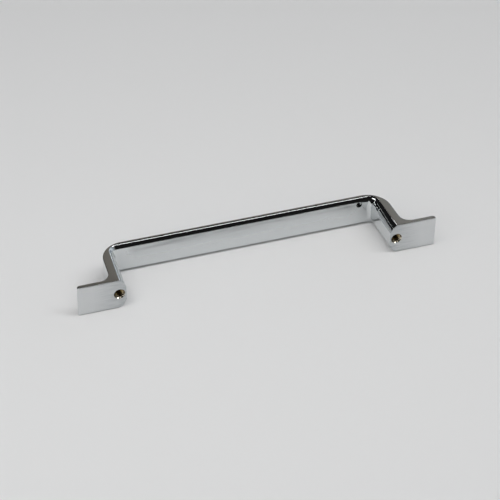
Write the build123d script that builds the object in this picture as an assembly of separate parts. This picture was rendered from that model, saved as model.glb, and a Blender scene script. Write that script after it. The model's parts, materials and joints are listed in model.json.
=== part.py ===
"""Bridge pull handle: one cast strap, a straight grip on two legs with flat feet turned outward.

X runs along the handle, Y from the mounting plane out to the grip, Z across the strap's width.
The origin lies on the mounting plane, midway between the two screw holes.  Millimetres, degrees.
"""
from build123d import *

import os
from math import cos, radians, sin, tan

# The strap seen from its edge
hole_spacing = 128.0         # between the screw holes
overall_length = 165.0       # tip to tip of the feet
projection = 25.6            # mounting plane to the front of the grip
strap_width = 15.0           # the same from tip to tip
grip_thickness = 3.1
leg_thickness = 6.9          # at the foot, square to the slope of the leg's outside
leg_lean = 3.2               # degrees by which the outsides of the legs draw together toward the grip
inner_lean = 1.6             # the same for their insides, along the middle of the strap
foot_thickness = 2.0
screw_to_leg = 3.25          # screw axis to the inside of the leg, at the mounting plane

# Corners and edges
outer_corner_radius = 10.7   # leg into grip, outside
inner_corner_radius = 2.0    # leg into grip, inside, along the middle of the strap
side_corner_radius = 5.2     # the same along the sides of the strap
foot_fillet = 4.8            # front of the foot into the leg
tip_radius = 1.4             # front edge of the foot's tip
edge_radius = 0.3            # the buffed outer edges
grip_flat = 0.9              # side of the grip left flat beside the rounded inner edge
leg_flat = 3.6               # the same on the legs
grip_round_height = 3.2      # how far the grip's rounded inner edge reaches across the strap's width
leg_round_height = 4.4       # the same on the legs
leg_fullness = 1.35          # of the legs' inner edge, where 1 is a chamfer and 2 a quarter ellipse
round_sections = 9           # sections through each rounded inner edge

# Screw holes, tapped for M4
tap_drill = 3.3
drill_depth = 14.0           # to the end of the full bore, before the drill's point
drill_point = 118.0          # degrees
countersink = 5.1            # width of its mouth
countersink_angle = 90.0     # degrees

# Small blind hole in the back of the grip, beside one leg
jig_hole = 2.7
jig_hole_depth = 1.6
jig_hole_to_leg = 5.5
jig_hole_to_edge = 3.1

edge_z = strap_width / 2
screw_x = hole_spacing / 2
inner_root_x = screw_x - screw_to_leg
outer_root_x = inner_root_x + leg_thickness / cos(radians(leg_lean))
grip_back_y = projection - grip_thickness


def leg_x(root_x, y, lean=leg_lean):
    """Where a side of the leg that starts at root_x has reached at height y."""
    return root_x - y * tan(radians(lean))


def mirrored(points):
    """The points, then their mirror images, as one path across the handle."""
    return points + [(-x, y) for x, y in reversed(points)]


def strap_blank():
    """The strap's outline with the space between the legs still filled."""
    half = [
        (overall_length / 2, 0),
        (overall_length / 2, foot_thickness),
        (leg_x(outer_root_x, foot_thickness), foot_thickness),
        (leg_x(outer_root_x, projection), projection),
    ]
    radii = [0, tip_radius, foot_fillet, outer_corner_radius]
    outline = make_face(FilletPolyline(*mirrored(half), radius=radii + radii[::-1], close=True))
    blank = extrude(outline, amount=edge_z, both=True)
    sides = blank.edges().filter_by_position(Axis.Z, edge_z, edge_z)
    sides += blank.edges().filter_by_position(Axis.Z, -edge_z, -edge_z)
    return fillet([edge for edge in sides if edge.center().Y > edge_radius / 4], edge_radius)


def opening_section(z):
    """The space between the legs at height z, where its sides flare toward both sides of the strap."""
    grip_share = max((abs(z) - edge_z) / grip_round_height + 1, 0)
    grip_spread = 1 - (1 - grip_share**2) ** 0.5
    leg_share = max((abs(z) - edge_z) / leg_round_height + 1, 0)
    leg_spread = 1 - (1 - leg_share**leg_fullness) ** (1 / leg_fullness)
    root_x = inner_root_x + (leg_thickness - leg_flat) / cos(radians(leg_lean)) * leg_spread
    back_y = grip_back_y + (grip_thickness - grip_flat) * grip_spread
    lean = inner_lean + (leg_lean - inner_lean) * leg_spread
    mouth_y = -foot_thickness
    half = [(leg_x(root_x, mouth_y, lean), mouth_y), (leg_x(root_x, back_y, lean), back_y)]
    radii = [0, inner_corner_radius + (side_corner_radius - inner_corner_radius) * grip_spread]
    outline = make_face(FilletPolyline(*mirrored(half), radius=radii + radii[::-1], close=True))
    return Pos(0, 0, z) * outline


def opening():
    """The space between the legs, straight in the middle and flared toward both sides."""
    straight_z = edge_z - leg_round_height
    middle = extrude(opening_section(0), amount=straight_z, both=True)
    sections = []
    for step in range(round_sections):
        angle = radians(90 * step / (round_sections - 1))
        sections.append(opening_section(straight_z + leg_round_height * sin(angle) ** (2 / leg_fullness)))
    flare = loft(sections)
    return middle + flare + mirror(flare, Plane.XY)


def screw_hole(side):
    """Tapping bore with its drill point and countersink, cut into the mounting face."""
    bore_radius = tap_drill / 2
    mouth_radius = countersink / 2
    mouth_depth = (mouth_radius - bore_radius) / tan(radians(countersink_angle / 2))
    point_length = bore_radius / tan(radians(drill_point / 2))
    section = Polyline(
        (0, 0),
        (mouth_radius, 0),
        (bore_radius, mouth_depth),
        (bore_radius, drill_depth),
        (0, drill_depth + point_length),
        close=True,
    )
    return Pos(side * screw_x, 0, 0) * revolve(make_face(section), Axis.Y)


def jig_pocket():
    """The small blind hole in the back of the grip."""
    leg_side_x = leg_x(inner_root_x, grip_back_y, inner_lean)
    place = Pos(leg_side_x - jig_hole_to_leg, grip_back_y, edge_z - jig_hole_to_edge)
    bore = Rot(90, 0, 0) * Cylinder(jig_hole / 2, 2 * jig_hole_depth)
    return place * bore


handle = strap_blank() - opening() - screw_hole(-1) - screw_hole(1) - jig_pocket()

os.makedirs("parts", exist_ok=True)
export_step(handle, "parts/pull_handle.step")
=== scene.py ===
"""Bridge pull handle: a zinc casting, drilled and tapped from behind, polished and chrome-plated."""
import json
from math import cos, degrees, pi, radians, sin, tan

import bmesh
import bpy
from mathutils import Matrix, Vector


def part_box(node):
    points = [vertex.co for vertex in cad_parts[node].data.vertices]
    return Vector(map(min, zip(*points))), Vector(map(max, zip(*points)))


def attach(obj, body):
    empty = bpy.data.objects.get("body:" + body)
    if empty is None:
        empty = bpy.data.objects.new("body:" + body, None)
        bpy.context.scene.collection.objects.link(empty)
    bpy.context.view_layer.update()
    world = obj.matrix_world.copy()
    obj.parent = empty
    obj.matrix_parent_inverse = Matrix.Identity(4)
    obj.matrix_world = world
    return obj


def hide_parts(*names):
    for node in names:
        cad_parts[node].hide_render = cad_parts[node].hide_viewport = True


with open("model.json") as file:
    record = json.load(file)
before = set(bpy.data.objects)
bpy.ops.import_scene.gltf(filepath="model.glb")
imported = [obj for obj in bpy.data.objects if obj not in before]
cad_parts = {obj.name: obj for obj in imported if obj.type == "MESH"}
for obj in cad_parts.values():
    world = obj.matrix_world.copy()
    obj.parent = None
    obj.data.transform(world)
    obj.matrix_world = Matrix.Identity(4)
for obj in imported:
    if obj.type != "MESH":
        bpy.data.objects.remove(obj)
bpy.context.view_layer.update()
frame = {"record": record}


# The casting.  One strap of zinc alloy, with a straight grip, two legs that lean together and two
# thin feet turned outward.  Its front edges are only buffed.  Between the legs its faces are slightly
# crowned and their edges full and round, to be kind to the fingers.  Sizes are in millimetres.
MM = 0.001
mounts = {mount["name"]: mount for mount in frame["record"]["mounts"]}
hole_spacing = mounts["screw_holes"]["dims"]["spacing_x_mm"]
half_length, projection, half_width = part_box("pull_handle")[1] / MM

grip_thickness = 3.1
leg_thickness = 6.9
outer_lean = radians(3.2)      # of the outsides of the legs toward each other
inner_lean = radians(1.6)
foot_thickness = 2.0
screw_to_leg = 3.25            # screw axis to the inside of the leg, at the mounting face
outer_corner_radius = 10.7
inner_corner_radius = 2.0      # along the middle of the strap
side_corner_radius = 5.2       # the same corner along the sides of the strap
foot_fillet = 4.8
tip_radius = 1.4
edge_radius = 0.3
grip_flat = 0.9                # side of the grip left flat beside the rounded inner edge
leg_flat = 3.6
grip_round_height = 3.2        # how far that edge reaches across the strap
leg_round_height = 4.4
grip_fullness = 2.0            # of that edge, where 1 is a chamfer and 2 a quarter ellipse
leg_fullness = 1.35
grip_crown = 0.35              # how far the crowned face would fall from its middle to the side
leg_crown = 0.25

screw_x = hole_spacing / 2
inner_root_x = screw_x - screw_to_leg
outer_root_x = inner_root_x + leg_thickness / cos(outer_lean)
grip_back_y = projection - grip_thickness
foot_fillet_y = foot_thickness + foot_fillet
foot_fillet_x = outer_root_x + (foot_fillet - foot_fillet_y * sin(outer_lean)) / cos(outer_lean)
leg_end_y = foot_fillet_y - foot_fillet * sin(outer_lean)

grip_steps, corner_steps, leg_steps = 10, 24, 5
fillet_steps, foot_steps, tip_steps = 14, 6, 6
rim_steps = 18


def arc(centre, radius, start, end, steps, hollow=False):
    """Points and outward normals round an arc; angles in degrees."""
    angles = [radians(start + (end - start) * step / steps) for step in range(steps + 1)]
    spokes = [Vector((cos(angle), sin(angle))) for angle in angles]
    return [(centre + radius * spoke, -spoke if hollow else spoke) for spoke in spokes]


def run(start, end, steps):
    """Points and outward normals along a straight run, with the metal on its right."""
    along = (end - start).normalized()
    return [(start.lerp(end, step / steps), Vector((-along.y, along.x))) for step in range(steps + 1)]


def bridge_side(root_x, face_y, radius, end_y, lean):
    """One side of the bridge: from the middle of the grip, round the corner and down the leg."""
    centre_y = face_y - radius
    centre = Vector((root_x - (radius + centre_y * sin(lean)) / cos(lean), centre_y))
    corner = arc(centre, radius, 90, degrees(lean), corner_steps)
    grip = run(Vector((0, face_y)), corner[0][0], grip_steps)
    leg = run(corner[-1][0], Vector((root_x - end_y * tan(lean), end_y)), leg_steps)
    return grip[:-1] + corner + leg[1:]


def front_outline():
    """The outside of the strap, from the middle of the grip to the bottom of the foot's tip."""
    fillet_centre = Vector((foot_fillet_x, foot_fillet_y))
    fillet = arc(fillet_centre, foot_fillet, 180 + degrees(outer_lean), 270, fillet_steps, hollow=True)
    tip_centre = Vector((half_length - tip_radius, foot_thickness - tip_radius))
    tip = arc(tip_centre, tip_radius, 90, 0, tip_steps)
    foot = run(fillet[-1][0], tip[0][0], foot_steps)
    tip_face = run(tip[-1][0], Vector((half_length, 0)), 1)
    bridge = bridge_side(outer_root_x, projection, outer_corner_radius, leg_end_y, outer_lean)
    return bridge + fillet[1:] + foot[1:] + tip[1:] + tip_face[1:]


def across(half_row):
    """A row of points from one long side of the strap to the other."""
    return half_row + [Vector((p.x, p.y, -p.z)) for p in reversed(half_row)]


rim_angles = [pi / 2 * (1 - step / rim_steps) for step in range(rim_steps + 1)]


def front_rows(outline):
    """Rows across the front of the strap, with the small buffed rim along each side."""
    rows = []
    for point, normal in outline:
        half_row = []
        for angle in rim_angles:
            rim = point - normal * edge_radius * (1 - cos(angle))
            half_row.append(Vector((rim.x, rim.y, half_width - edge_radius * (1 - sin(angle)))))
        rows.append(across(half_row))
    return rows


def curved_away(z, height, fullness):
    """How far a rounded inner edge has gone at z, from 0 where it starts to 1 at the strap's side."""
    share = max(1 - (half_width - z) / height, 0)
    return 1 - (1 - share ** fullness) ** (1 / fullness)


def inner_rows():
    """Rows across the back of the grip and the inside of the leg, crowned and with full round edges."""
    columns = []
    for angle in rim_angles:
        z = half_width - leg_round_height * (1 - sin(angle) ** (2 / leg_fullness))
        grip_spread = curved_away(z, grip_round_height, grip_fullness)
        crown = (z / half_width) ** 2
        back_y = grip_back_y + grip_crown * crown
        back_y += (grip_thickness - grip_flat - grip_crown) * grip_spread
        leg_spread = curved_away(z, leg_round_height, leg_fullness)
        root_x = inner_root_x + leg_crown * crown
        root_x += ((leg_thickness - leg_flat) / cos(outer_lean) - leg_crown) * leg_spread
        corner_radius = inner_corner_radius + (side_corner_radius - inner_corner_radius) * grip_spread
        lean = inner_lean + (outer_lean - inner_lean) * leg_spread
        side = bridge_side(root_x, back_y, corner_radius, 0, lean)
        columns.append([Vector((point.x, point.y, z)) for point, normal in side])
    return [across(list(half_row)) for half_row in zip(*columns)]


def mounting_rows(first, last, outline):
    """Rows across the mounting face, from the foot of the leg's inside to the tip."""
    lengths = [0]
    for (before, _), (after, _) in zip(outline, outline[1:]):
        lengths.append(lengths[-1] + (after - before).length)
    shares = [length / lengths[-1] for length in lengths]
    return [[a.lerp(b, share) for a, b in zip(first, last)] for share in shares]


weld_distance = 0.001


def strap_mesh():
    """The casting before it is drilled, as rings of points from tip to tip."""
    outline = front_outline()
    front = front_rows(outline)
    inner = inner_rows()
    root = len(inner) - 1
    inner += mounting_rows(inner[-1], front[-1], outline[root:])[1:]
    half = [front_row + inner_row[::-1] for front_row, inner_row in zip(front, inner)]
    other = [[Vector((-p.x, p.y, p.z)) for p in ring] for ring in half[:0:-1]]
    mesh = bmesh.new()
    rings = [[mesh.verts.new(p * MM) for p in ring] for ring in other + half]
    for ring, following in zip(rings, rings[1:]):
        for index, corner in enumerate(ring):
            mesh.faces.new((corner, ring[index - 1], following[index - 1], following[index]))
    bmesh.ops.remove_doubles(mesh, verts=mesh.verts, dist=weld_distance * MM)
    bmesh.ops.recalc_face_normals(mesh, faces=mesh.faces)
    return mesh


# The screw holes.  Each is drilled from behind, countersunk and tapped for an M4 screw, so its wall
# is a thread that winds in from the countersink.  The tap stops short of the bottom of the drilling,
# which ends in the drill's point.
tap_drill_radius = mounts["screw_hole_left"]["dims"]["r_mm"]
drill_depth = 14.0             # to the end of the full bore, before the drill's point
drill_point = radians(118)
mouth_radius = 2.55            # of the countersink at the mounting face
countersink = radians(70)
thread_radius = 2.02
thread_pitch = 0.7
thread_depth = 12.0
thread_steps = 48
cutter_head = 0.1              # how far the tools start outside the face that they cut


def thread_profile():
    """Heights within one turn, as shares of the pitch, and how deep the thread is cut at each."""
    crest, flank, root = 1 / 4, 5 / 16, 1 / 8
    return [(0, 0), (crest, 0), (crest + flank, 1), (crest + flank + root, 1)]


def hole_radius(y, cut):
    """Radius of the hole at depth y, where the thread is cut to the given share of its depth."""
    cone = mouth_radius - y * tan(countersink / 2)
    return max(cone, tap_drill_radius + cut * (thread_radius - tap_drill_radius))


def tapped_hole(x):
    """What is cut away for one hole: a rod with a thread round it, a point and a conical head."""
    mesh = bmesh.new()

    def ring(heights, cuts):
        """A ring round the hole; a cut of None draws it in to a point on the axis."""
        corners = []
        for step, (y, cut) in enumerate(zip(heights, cuts)):
            angle = 2 * pi * step / thread_steps
            radius = hole_radius(y, cut) if cut is not None else 0
            corners.append(Vector((x + radius * cos(angle), y, radius * sin(angle))) * MM)
        return corners

    around = thread_steps + 1
    rings = [ring([-cutter_head] * around, [None] * around)]
    rings.append(ring([-cutter_head] * around, [0] * around))
    for turn in range(-1, round(thread_depth / thread_pitch) + 1):
        for share, cut in thread_profile():
            heights = [thread_pitch * (turn + share + step / thread_steps) for step in range(around)]
            inside = [0 < height < thread_depth for height in heights]
            heights = [min(max(height, -cutter_head), thread_depth) for height in heights]
            rings.append(ring(heights, [cut if there else 0 for there in inside]))
    rings.append(ring([drill_depth] * around, [0] * around))
    point_depth = drill_depth + tap_drill_radius / tan(drill_point / 2)
    rings.append(ring([point_depth] * around, [None] * around))
    rings = [[mesh.verts.new(corner) for corner in corners] for corners in rings]
    for near, far in zip(rings, rings[1:]):
        for step in range(thread_steps):
            mesh.faces.new((near[step], near[step + 1], far[step + 1], far[step]))
    bmesh.ops.remove_doubles(mesh, verts=mesh.verts, dist=weld_distance * MM)
    bmesh.ops.recalc_face_normals(mesh, faces=mesh.faces)
    return mesh


# The jig hole.  A shallow blind hole in the back of the grip, by which the handle hangs while it is
# plated, so it is chromed like the rest.
jig_radius = 1.35
jig_depth = 1.6
jig_to_leg = 5.5
jig_to_edge = 3.1
jig_segments = 48


def jig_hole():
    """What is cut away for the jig hole."""
    mesh = bmesh.new()
    x = inner_root_x - grip_back_y * tan(inner_lean) - jig_to_leg
    place = Vector((x, grip_back_y, half_width - jig_to_edge)) * MM
    turned = Matrix.Translation(place) @ Matrix.Rotation(pi / 2, 4, "X")
    bmesh.ops.create_cone(
        mesh, cap_ends=True, segments=jig_segments, matrix=turned,
        radius1=jig_radius * MM, radius2=jig_radius * MM, depth=2 * jig_depth * MM,
    )
    return mesh


# Surfaces.  Four finishes meet on the one casting: polished chrome, half-polished chrome between the
# legs, ground chrome on the feet, and the warm undercoat in the threads, darkened there as painted
# shade.
def linear(colour):
    """An sRGB colour such as "#C8CCD0" as linear red, green, blue and alpha."""
    parts = [int(colour[at:at + 2], 16) / 255 for at in (1, 3, 5)]
    return [part / 12.92 if part <= 0.04045 else ((part + 0.055) / 1.055) ** 2.4 for part in parts] + [1]


def add_node(tree, kind, sockets, **settings):
    """Adds a node with its settings; each socket takes a value or another node's output."""
    node = tree.nodes.new(kind)
    for name, value in settings.items():
        setattr(node, name, value)
    for name, value in sockets.items():
        if isinstance(value, bpy.types.NodeSocket):
            tree.links.new(value, node.inputs[name])
        else:
            node.inputs[name].default_value = value
    return node


def new_tree(name):
    """A new material and its empty node tree."""
    material = bpy.data.materials.new(name)
    material.use_nodes = True
    material.node_tree.nodes.clear()
    return material, material.node_tree


# Polished chrome.  Bright chrome over buffed zinc, on the outside, the edges and the jig hole: a cool
# mirror, with the faint swell that a soft buffing wheel leaves in the flats.
mirror_roughness = 0.05


def buffed_chrome(material, tree, place, roughness):
    """Chrome over buffed zinc, as bright or dull as its roughness; place is the point on the handle."""
    swell, swell_height = 9.0, 0.004
    waves = add_node(tree, "ShaderNodeTexNoise", {
        "Vector": place, "Scale": 1 / (swell * MM), "Detail": 1.0, "Roughness": 0.4,
    })
    bump = add_node(tree, "ShaderNodeBump", {
        "Height": waves.outputs["Fac"], "Strength": 1.0, "Distance": swell_height * MM,
    })
    shader = add_node(tree, "ShaderNodeBsdfPrincipled", {
        "Base Color": linear("#DADDDE"), "Metallic": 1.0, "Roughness": roughness,
        "Normal": bump.outputs["Normal"],
    })
    add_node(tree, "ShaderNodeOutputMaterial", {"Surface": shader.outputs["BSDF"]})
    return material


def polished_chrome():
    material, tree = new_tree("polished_chrome_plate")
    place = add_node(tree, "ShaderNodeTexCoord", {}).outputs["Object"]
    return buffed_chrome(material, tree, place, mirror_roughness)


# Half-polished chrome.  Between the legs the wheel gets in from one side only, so across the strap the
# inner faces go from bright to dull, with streaks along the handle where the wheel has skipped.  They
# are bright again along the far edge and near the corners, which it reaches from other directions.
def half_polished_chrome():
    material, tree = new_tree("half_polished_chrome_plate")
    dull_roughness, least_streak, most_streak = 0.62, 0.7, 1.3
    streak_low, streak_high = 0.3, 0.7
    streak_length, streak_width = 14.0, 1.2
    dull_start, dull_full = -3.5, 4.6
    edge_start, edge_full = 4.6, 6.2
    corner_start, corner_full = 50.0, 57.0
    place = add_node(tree, "ShaderNodeTexCoord", {}).outputs["Object"]
    stretched = add_node(tree, "ShaderNodeMapping", {
        "Vector": place,
        "Scale": (1 / (streak_length * MM), 1 / (streak_length * MM), 1 / (streak_width * MM)),
    })
    streaks = add_node(tree, "ShaderNodeTexNoise", {
        "Vector": stretched.outputs["Vector"], "Scale": 1.0, "Detail": 3.0, "Roughness": 0.6,
    })
    full = add_node(tree, "ShaderNodeMapRange", {
        "Value": streaks.outputs["Fac"], "From Min": streak_low, "From Max": streak_high,
        "To Min": least_streak * dull_roughness, "To Max": most_streak * dull_roughness,
    })
    across = add_node(tree, "ShaderNodeSeparateXYZ", {"Vector": place})
    to_leg = add_node(tree, "ShaderNodeMath", {0: across.outputs["X"]}, operation="ABSOLUTE")
    inside = add_node(tree, "ShaderNodeMapRange", {
        "Value": to_leg.outputs["Value"], "From Min": corner_start * MM, "From Max": corner_full * MM,
        "To Min": full.outputs["Result"], "To Max": mirror_roughness,
    })
    dulled = add_node(tree, "ShaderNodeMapRange", {
        "Value": across.outputs["Z"], "From Min": dull_start * MM, "From Max": dull_full * MM,
        "To Min": mirror_roughness, "To Max": inside.outputs["Result"],
    })
    edged = add_node(tree, "ShaderNodeMapRange", {
        "Value": across.outputs["Z"], "From Min": edge_start * MM, "From Max": edge_full * MM,
        "To Min": dulled.outputs["Result"], "To Max": mirror_roughness,
    })
    return buffed_chrome(material, tree, place, edged.outputs["Result"])


# Ground chrome.  The feet are ground flat on a belt that runs along the handle, then plated without
# buffing, so they stay satin and lined.  The plate is greyer in streaks from the legs to the holes,
# fading out toward the tips.  The lines are drawn 0.2 mm apart, coarser than real ones, to show.
def ground_chrome():
    material, tree = new_tree("ground_chrome_plate")
    line_length, line_spacing, line_height = 12.0, 0.2, 0.0015
    streak_length, streak_width = 7.0, 0.9
    streak_low, streak_high = 0.35, 0.65
    least_grey, most_grey = 0.4, 1.0
    grey_full_out, grey_gone_out = screw_x - 1.0, screw_x + 12.0
    satin = 0.3
    place = add_node(tree, "ShaderNodeTexCoord", {})
    stretched = add_node(tree, "ShaderNodeMapping", {
        "Vector": place.outputs["Object"],
        "Scale": (1 / (line_length * MM), 1 / (line_spacing * MM), 1 / (line_spacing * MM)),
    })
    lines = add_node(tree, "ShaderNodeTexNoise", {
        "Vector": stretched.outputs["Vector"], "Scale": 1.0, "Detail": 3.0, "Roughness": 0.6,
    })
    bump = add_node(tree, "ShaderNodeBump", {
        "Height": lines.outputs["Fac"], "Strength": 1.0, "Distance": line_height * MM,
    })
    broader = add_node(tree, "ShaderNodeMapping", {
        "Vector": place.outputs["Object"],
        "Scale": (1 / (streak_length * MM), 1 / (streak_width * MM), 1 / (streak_width * MM)),
    })
    streaks = add_node(tree, "ShaderNodeTexNoise", {
        "Vector": broader.outputs["Vector"], "Scale": 1.0, "Detail": 2.0, "Roughness": 0.6,
    })
    along = add_node(tree, "ShaderNodeSeparateXYZ", {"Vector": place.outputs["Object"]})
    to_tip = add_node(tree, "ShaderNodeMath", {0: along.outputs["X"]}, operation="ABSOLUTE")
    full = add_node(tree, "ShaderNodeMapRange", {
        "Value": streaks.outputs["Fac"], "From Min": streak_low, "From Max": streak_high,
        "To Min": least_grey, "To Max": most_grey,
    })
    greyness = add_node(tree, "ShaderNodeMapRange", {
        "Value": to_tip.outputs["Value"], "From Min": grey_full_out * MM, "From Max": grey_gone_out * MM,
        "To Min": full.outputs["Result"], "To Max": 0.0,
    })
    plate = add_node(tree, "ShaderNodeValToRGB", {"Fac": greyness.outputs["Result"]})
    for stop, colour in zip(plate.color_ramp.elements, ("#DADCDD", "#B4B8BA")):
        stop.color = linear(colour)
    shader = add_node(tree, "ShaderNodeBsdfPrincipled", {
        "Base Color": plate.outputs["Color"], "Metallic": 1.0, "Roughness": satin,
        "Normal": bump.outputs["Normal"],
    })
    add_node(tree, "ShaderNodeOutputMaterial", {"Surface": shader.outputs["BSDF"]})
    return material


# Undercoat in the holes.  Chrome hardly plates down a hole, so its mouth is pale and the threads
# below keep the warm yellowish colour of the nickel and copper beneath it, roughened by the tap.
# That colour is also painted darker deeper down, as painted shade inside the hole.
def tapped_coat_and_shade():
    material, tree = new_tree("tapped_nickel_coat_and_painted_shade")
    pale_depth, warm_depth = 0.3, 1.5
    tooth_marks, mark_height = 0.15, 0.002
    freshly_cut = 0.2
    place = add_node(tree, "ShaderNodeTexCoord", {})
    depth = add_node(tree, "ShaderNodeSeparateXYZ", {"Vector": place.outputs["Object"]})
    bareness_and_shade = add_node(tree, "ShaderNodeMapRange", {
        "Value": depth.outputs["Y"], "From Min": pale_depth * MM, "From Max": warm_depth * MM,
    })
    # pale at the mouth, warm and darker deeper: the undercoat's colour together with painted shade down
    # the hole
    coat = add_node(tree, "ShaderNodeValToRGB", {"Fac": bareness_and_shade.outputs["Result"]})
    for stop, colour in zip(coat.color_ramp.elements, ("#E2DACB", "#A08D63")):
        stop.color = linear(colour)
    marks = add_node(tree, "ShaderNodeTexNoise", {
        "Vector": place.outputs["Object"], "Scale": 1 / (tooth_marks * MM), "Detail": 2.0,
    })
    bump = add_node(tree, "ShaderNodeBump", {
        "Height": marks.outputs["Fac"], "Strength": 1.0, "Distance": mark_height * MM,
    })
    shader = add_node(tree, "ShaderNodeBsdfPrincipled", {
        "Base Color": coat.outputs["Color"], "Metallic": 1.0, "Roughness": freshly_cut,
        "Normal": bump.outputs["Normal"],
    })
    add_node(tree, "ShaderNodeOutputMaterial", {"Surface": shader.outputs["BSDF"]})
    return material


# Machining.  The holes are cut from the casting, the edge of each ground face is broken, and the
# shading follows the large faces, so that the flats mirror as flats.
POLISHED, HALF_POLISHED, GROUND, TAPPED = 0, 1, 2, 3
finishes = [polished_chrome(), half_polished_chrome(), ground_chrome(), tapped_coat_and_shade()]
ground_reach = 0.001           # what lies within this of the mounting plane is ground
up_the_round = 0.8             # how far the half-polished faces reach up their rounded edges
ground_edge_break = 0.22
ground_edge_steps = 3
crease = radians(40)


def workpiece(name, mesh):
    """A new object with this mesh."""
    data = bpy.data.meshes.new(name)
    mesh.to_mesh(data)
    mesh.free()
    piece = bpy.data.objects.new(name, data)
    bpy.context.scene.collection.objects.link(piece)
    return piece


def modify(piece, kind, **settings):
    """Adds a modifier to the piece."""
    modifier = piece.modifiers.new(kind.lower(), kind)
    for name, value in settings.items():
        setattr(modifier, name, value)


def settle(piece):
    """Turns the piece's modifiers into its mesh."""
    view = bpy.context.evaluated_depsgraph_get()
    piece.data = bpy.data.meshes.new_from_object(piece.evaluated_get(view))
    piece.modifiers.clear()


def finish_faces(piece, choose):
    """Gives the piece all the finishes, and each face the one that choose picks for it."""
    for material in finishes:
        piece.data.materials.append(material)
    for face in piece.data.polygons:
        face.use_smooth = True
        face.material_index = choose([piece.data.vertices[corner].co for corner in face.vertices])


def strap_finish(corners):
    """The finish of a face of the strap, from where its corners lie."""
    out = max(abs(p.x) for p in corners) / MM
    up = max(p.y for p in corners) / MM
    if up < ground_reach:
        return GROUND
    if out < inner_root_x + up_the_round and up < grip_back_y + up_the_round:
        return HALF_POLISHED
    return POLISHED


handle = workpiece("plated_handle", strap_mesh())
finish_faces(handle, strap_finish)
modify(
    handle, "BEVEL", width=ground_edge_break * MM, segments=ground_edge_steps, limit_method="ANGLE",
    angle_limit=crease, use_clamp_overlap=False, loop_slide=False,
)
settle(handle)
holes = [(tapped_hole(-screw_x), TAPPED), (tapped_hole(screw_x), TAPPED), (jig_hole(), POLISHED)]
for mesh, finish in holes:
    cutter = workpiece("hole", mesh)
    finish_faces(cutter, lambda corners: finish)
    modify(handle, "BOOLEAN", operation="DIFFERENCE", object=cutter, solver="MANIFOLD")
    settle(handle)
    bpy.data.objects.remove(cutter)
handle.data.set_sharp_from_angle(angle=crease)
modify(handle, "WEIGHTED_NORMAL", keep_sharp=True)
settle(handle)

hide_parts("pull_handle")
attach(handle, "root")


# The studio, in metres.  The handle lies on its side on a plain, pale, matt floor, lit by a softbox
# overhead and a fill from the front.  The chrome doesn't mirror those two, only the lights that it is
# to glint with: two strips, two lamps and two long tubes.
floor_half = 3.0
floor_z = -half_width * MM
floor_mesh = bmesh.new()
bmesh.ops.create_grid(
    floor_mesh, x_segments=1, y_segments=1, size=floor_half, matrix=Matrix.Translation((0, 0, floor_z)),
)
floor = workpiece("floor", floor_mesh)
material, tree = new_tree("pale_matt_floor")
shader = add_node(tree, "ShaderNodeBsdfPrincipled", {
    "Base Color": linear("#F0F0F0"), "Roughness": 0.9, "Specular IOR Level": 0.2,
})
add_node(tree, "ShaderNodeOutputMaterial", {"Surface": shader.outputs["BSDF"]})
floor.data.materials.append(material)

scene = bpy.context.scene
scene.view_settings.view_transform = "Standard"


def area_light(name, centre, along, size, radiance, mirrored):
    """A rectangular light that faces the handle, with its long side along the given direction."""
    data = bpy.data.lights.new(name, "AREA")
    data.shape = "RECTANGLE"
    data.size, data.size_y = size
    data.energy = radiance * pi * size[0] * size[1]
    lamp = bpy.data.objects.new(name, data)
    back = Vector(centre).normalized()
    right = (Vector(along) - back * back.dot(Vector(along))).normalized()
    turn = Matrix((right, back.cross(right), back)).transposed()
    lamp.matrix_world = Matrix.Translation(centre) @ turn.to_4x4()
    lamp.visible_camera = False
    lamp.visible_glossy = mirrored
    scene.collection.objects.link(lamp)


area_light("softbox", (-0.08, -0.06, 0.6), (1, 0, 0), (1.0, 0.25), 2.0, mirrored=False)
area_light("front_fill", (-0.5, -0.9, 1.3), (1, 0, 0), (2.4, 2.4), 0.6, mirrored=False)
area_light("strip", (0.8, -0.45, 2.0), (0.62, -0.2, 0), (1.3, 0.19), 4.5, mirrored=True)
area_light("right_lamp", (1.24, -0.52, 1.48), (0.6, 0.8, 0), (0.45, 0.45), 4.0, mirrored=True)
area_light("left_lamp", (-0.33, -0.83, 2.0), (0.6, 0.8, 0), (0.3, 0.3), 2.5, mirrored=True)
area_light("left_strip", (-0.75, 1.0, 2.0), (-0.1, 0.8, 0), (1.6, 0.2), 3.5, mirrored=True)
area_light("near_tube", (-2.1, -0.39, 1.0), (-0.452, 0.892, 0), (2.6, 0.06), 9.0, mirrored=True)
area_light("far_tube", (-4.1, 3.55, 1.0), (-0.452, 0.892, 0), (5.6, 0.03), 1.5, mirrored=True)

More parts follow.
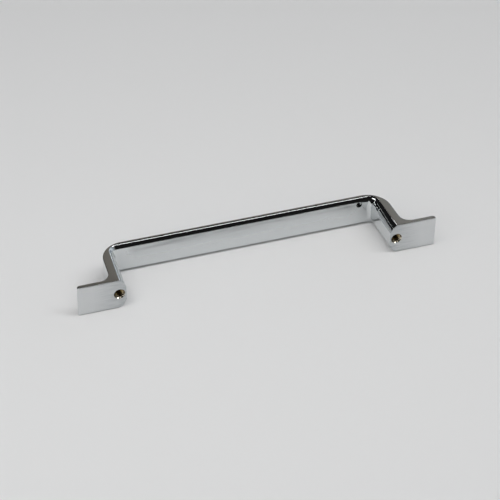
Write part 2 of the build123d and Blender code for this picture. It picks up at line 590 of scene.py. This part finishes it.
# The room.  Its walls go from dark through a warm grey, which the flat edges of the strap mirror, to
# a cool pale grey low down on one side.
world = bpy.data.worlds.new("dark_studio")
scene.world = world
world.use_nodes = True
tree = world.node_tree
tree.nodes.clear()
pale_azimuth, pale_elevation = radians(75), radians(-20)
pale_level = cos(pale_elevation)
pale_side = (sin(pale_azimuth) * pale_level, cos(pale_azimuth) * pale_level, sin(pale_elevation))
place = add_node(tree, "ShaderNodeTexCoord", {})
facing = add_node(
    tree, "ShaderNodeVectorMath", {0: place.outputs["Generated"], 1: pale_side}, operation="DOT_PRODUCT",
)
walls = add_node(tree, "ShaderNodeValToRGB", {"Fac": facing.outputs["Value"]})
dark_wall, pale_wall = "#1A1A1A", "#D2D6DA"
shades = [
    (0.08, "#45423F"), (0.15, "#74706A"), (0.25, "#7E7A74"), (0.36, "#8F9498"), (0.68, "#A6AEB6"),
    (0.8, pale_wall),
]
for stop, colour in zip(walls.color_ramp.elements, (dark_wall, pale_wall)):
    stop.color = linear(colour)
for position, colour in shades:
    walls.color_ramp.elements.new(position).color = linear(colour)
seen = add_node(tree, "ShaderNodeBackground", {"Color": walls.outputs["Color"], "Strength": 1.0})
add_node(tree, "ShaderNodeOutputWorld", {"Surface": seen.outputs["Background"]})

# The camera.  A long lens at a little under a metre looks down on the handle's back from the left.
# The handle lies just off the middle of the picture, and the camera is rolled by a degree.
azimuth, elevation, roll = radians(-19.43), radians(38.65), radians(1.21)
distance, shift_left, shift_up = 905.4, 4.645, 6.912
back = Vector((sin(azimuth) * cos(elevation), -cos(azimuth) * cos(elevation), sin(elevation)))
level = Vector((cos(azimuth), sin(azimuth), 0))
upright = back.cross(level)
right = level * cos(roll) + upright * sin(roll)
up = upright * cos(roll) - level * sin(roll)
camera = bpy.data.objects.new("camera", bpy.data.cameras.new("camera"))
camera.data.sensor_width = 36
camera.data.lens = 149.04
camera.data.clip_start = 0.05
stand = (back * distance - right * shift_left + up * shift_up) * MM
camera.matrix_world = Matrix.Translation(stand) @ Matrix((right, up, back)).transposed().to_4x4()
scene.collection.objects.link(camera)
scene.camera = camera
